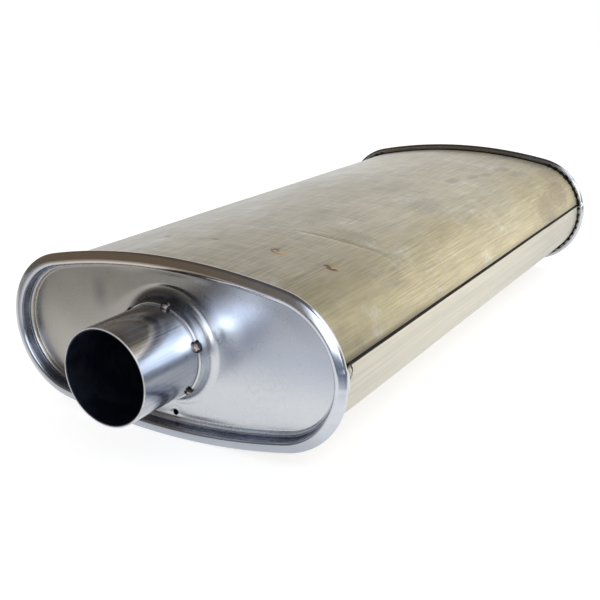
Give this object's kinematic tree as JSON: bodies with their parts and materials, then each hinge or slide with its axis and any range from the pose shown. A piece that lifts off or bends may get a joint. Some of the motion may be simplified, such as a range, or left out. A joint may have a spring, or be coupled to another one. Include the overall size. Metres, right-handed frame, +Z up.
{
  "type": "muffler",
  "caption": "Oval three-pass exhaust muffler: lock-seamed shell, rolled-on end caps, a central inlet neck and an offset outlet neck, perforated core tubes on baffles.",
  "frame": {"origin": "under the middle of the body, on the plane that the two rolled rims stand on", "axes": "+Y runs along the body from the inlet end to the outlet end, +Z is up, and +X is the side with the lock seam"},
  "size_m": [0.2592, 0.6004, 0.1195],
  "materials": {
    "shell_steel": "aluminised sheet, satin, lightly streaked along its length",
    "cap_steel": "stamped bare steel, satin to glossy",
    "neck_steel": "drawn tube, glossy with lengthwise streaks",
    "core_steel": "dull aluminised sheet",
    "weld_metal": "dark oxidised weld beads"
  },
  "bodies": {
    "root": {"outer_shell": "shell_steel", "inlet_cap": "cap_steel", "outlet_cap": "cap_steel", "inlet_neck": "neck_steel", "outlet_neck": "neck_steel", "inlet_tube": "core_steel", "return_tube": "core_steel", "outlet_tube": "core_steel", "front_baffle": "core_steel", "middle_baffle": "core_steel", "rear_baffle": "core_steel", "inlet_tack_welds": "weld_metal", "outlet_tack_welds": "weld_metal", "inlet_tube_welds": "weld_metal", "return_tube_welds": "weld_metal", "outlet_tube_welds": "weld_metal"}
  },
  "joints": []
}
